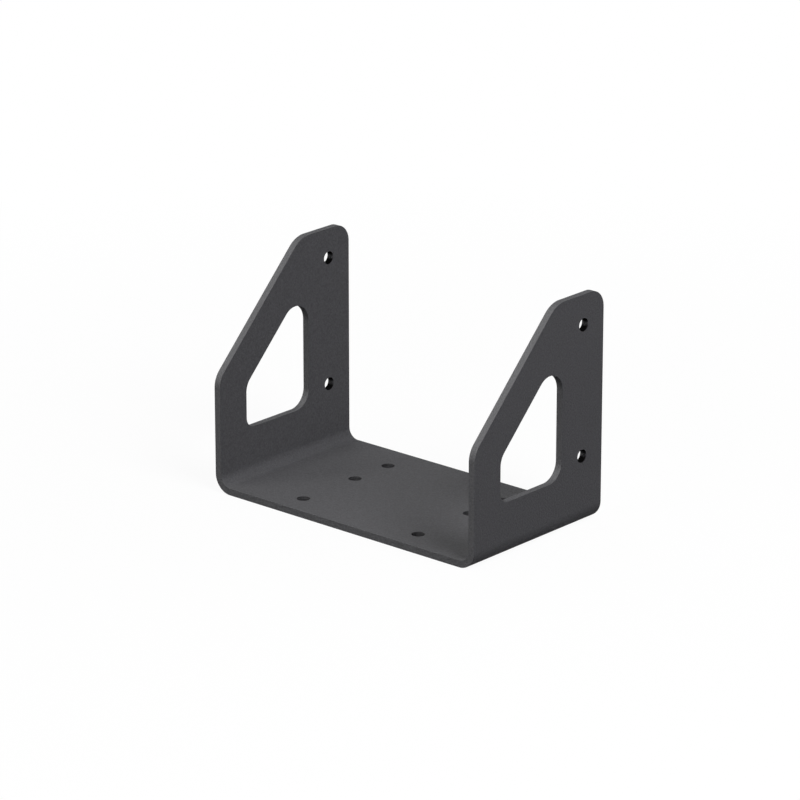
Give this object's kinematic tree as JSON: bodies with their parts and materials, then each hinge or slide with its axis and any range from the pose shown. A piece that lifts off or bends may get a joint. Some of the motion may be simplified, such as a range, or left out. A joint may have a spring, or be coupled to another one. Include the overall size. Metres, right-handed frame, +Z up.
{
  "type": "adapter plate",
  "caption": "U-shaped adapter plate folded from one steel sheet, with a drilled base to carry a device and two windowed cheeks with screw holes for fixing between uprights.",
  "frame": {"origin": "middle of the underside of the base", "axes": "+X across the bracket from the left cheek to the right cheek, +Y from the low front of the cheeks to their tall rear edge, +Z up out of the base"},
  "size_m": [0.1764, 0.1, 0.1245],
  "materials": {
    "coat": "fine-textured dark grey powder coat, matt to satin"
  },
  "bodies": {
    "root": {"bracket": "coat"}
  },
  "joints": []
}
